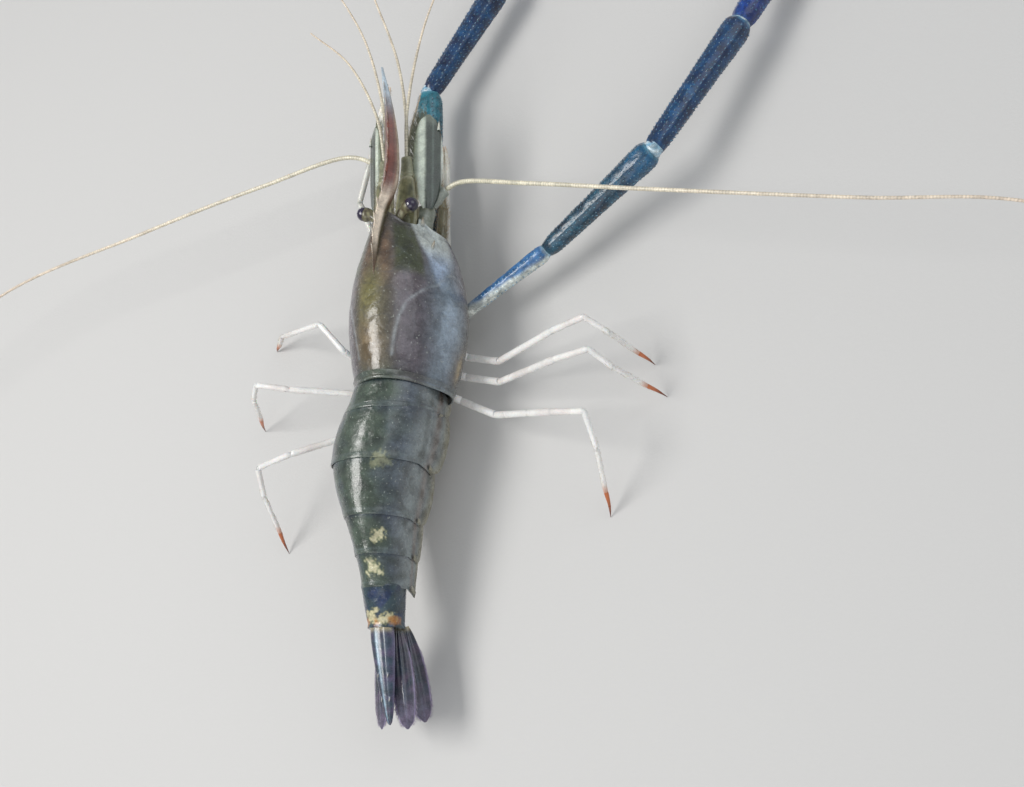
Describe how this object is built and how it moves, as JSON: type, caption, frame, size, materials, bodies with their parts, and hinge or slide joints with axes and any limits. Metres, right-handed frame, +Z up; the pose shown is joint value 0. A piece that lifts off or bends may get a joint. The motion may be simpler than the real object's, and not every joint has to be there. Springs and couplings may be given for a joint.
{
  "type": "giant river prawn",
  "caption": "Life-size giant river prawn with a toothed upturned beak, long feelers, two long claw arms, walking legs and a closed tail fan.",
  "frame": {"origin": "centre of the whole prawn's bounding box, at floor level", "axes": "+Y from the tail fan towards the beak, +X towards the animal's right, +Z up from the floor"},
  "size_m": [0.5746, 0.3882, 0.0583],
  "materials": {
    "shell": "wet, glossy shell, olive brown to grey green with a pale right flank",
    "underside": "moist, pale",
    "rostrum": "glossy red brown with paler edges",
    "eye": "wet black",
    "stalk": "moist, grey green",
    "feeler": "pale, slightly pink",
    "antenna_scale": "translucent grey green with a whitish outer edge",
    "walking_leg": "milky white with orange brown tips",
    "claw_arm": "wet deep blue with raised points, pale at the joints",
    "claw_finger": "velvety brown",
    "swimmeret": "pinkish brown",
    "tail_fan": "dark blue grey with lilac edges"
  },
  "bodies": {
    "root": {"carapace": "shell", "abdomen_1": "shell", "abdomen_2": "shell", "abdomen_3": "shell", "abdomen_4": "shell", "abdomen_5": "shell", "abdomen_6": "shell", "thorax_underside": "underside", "rostrum": "rostrum", "eye_right": "eye", "eyestalk_right": "stalk", "antenna_base_right": "stalk", "antennule_right": "feeler", "antenna_near_right": "feeler", "antenna_far_right": "feeler", "antenna_scale_right": "antenna_scale", "maxilliped_right": "walking_leg", "leg1_right": "walking_leg", "leg3_right": "walking_leg", "leg4_right": "walking_leg", "leg5_right": "walking_leg", "arm_ischium_right": "claw_arm", "arm_merus_right": "claw_arm", "arm_carpus_right": "claw_arm", "arm_palm_right": "claw_arm", "arm_finger_right": "claw_finger", "swimmeret_1_right": "swimmeret", "swimmeret_2_right": "swimmeret", "swimmeret_3_right": "swimmeret", "swimmeret_4_right": "swimmeret", "swimmeret_5_right": "swimmeret", "uropod_inner_right": "tail_fan", "uropod_outer_right": "tail_fan", "eye_left": "eye", "eyestalk_left": "stalk", "antenna_base_left": "stalk", "antennule_left": "feeler", "antenna_near_left": "feeler", "antenna_far_left": "feeler", "antenna_scale_left": "antenna_scale", "maxilliped_left": "walking_leg", "leg1_left": "walking_leg", "leg3_left": "walking_leg", "leg4_left": "walking_leg", "leg5_left": "walking_leg", "arm_ischium_left": "claw_arm", "arm_merus_left": "claw_arm", "arm_carpus_left": "claw_arm", "arm_palm_left": "claw_arm", "arm_finger_left": "claw_finger", "swimmeret_1_left": "swimmeret", "swimmeret_2_left": "swimmeret", "swimmeret_3_left": "swimmeret", "swimmeret_4_left": "swimmeret", "swimmeret_5_left": "swimmeret", "uropod_inner_left": "tail_fan", "uropod_outer_left": "tail_fan", "telson": "tail_fan"}
  },
  "joints": []
}
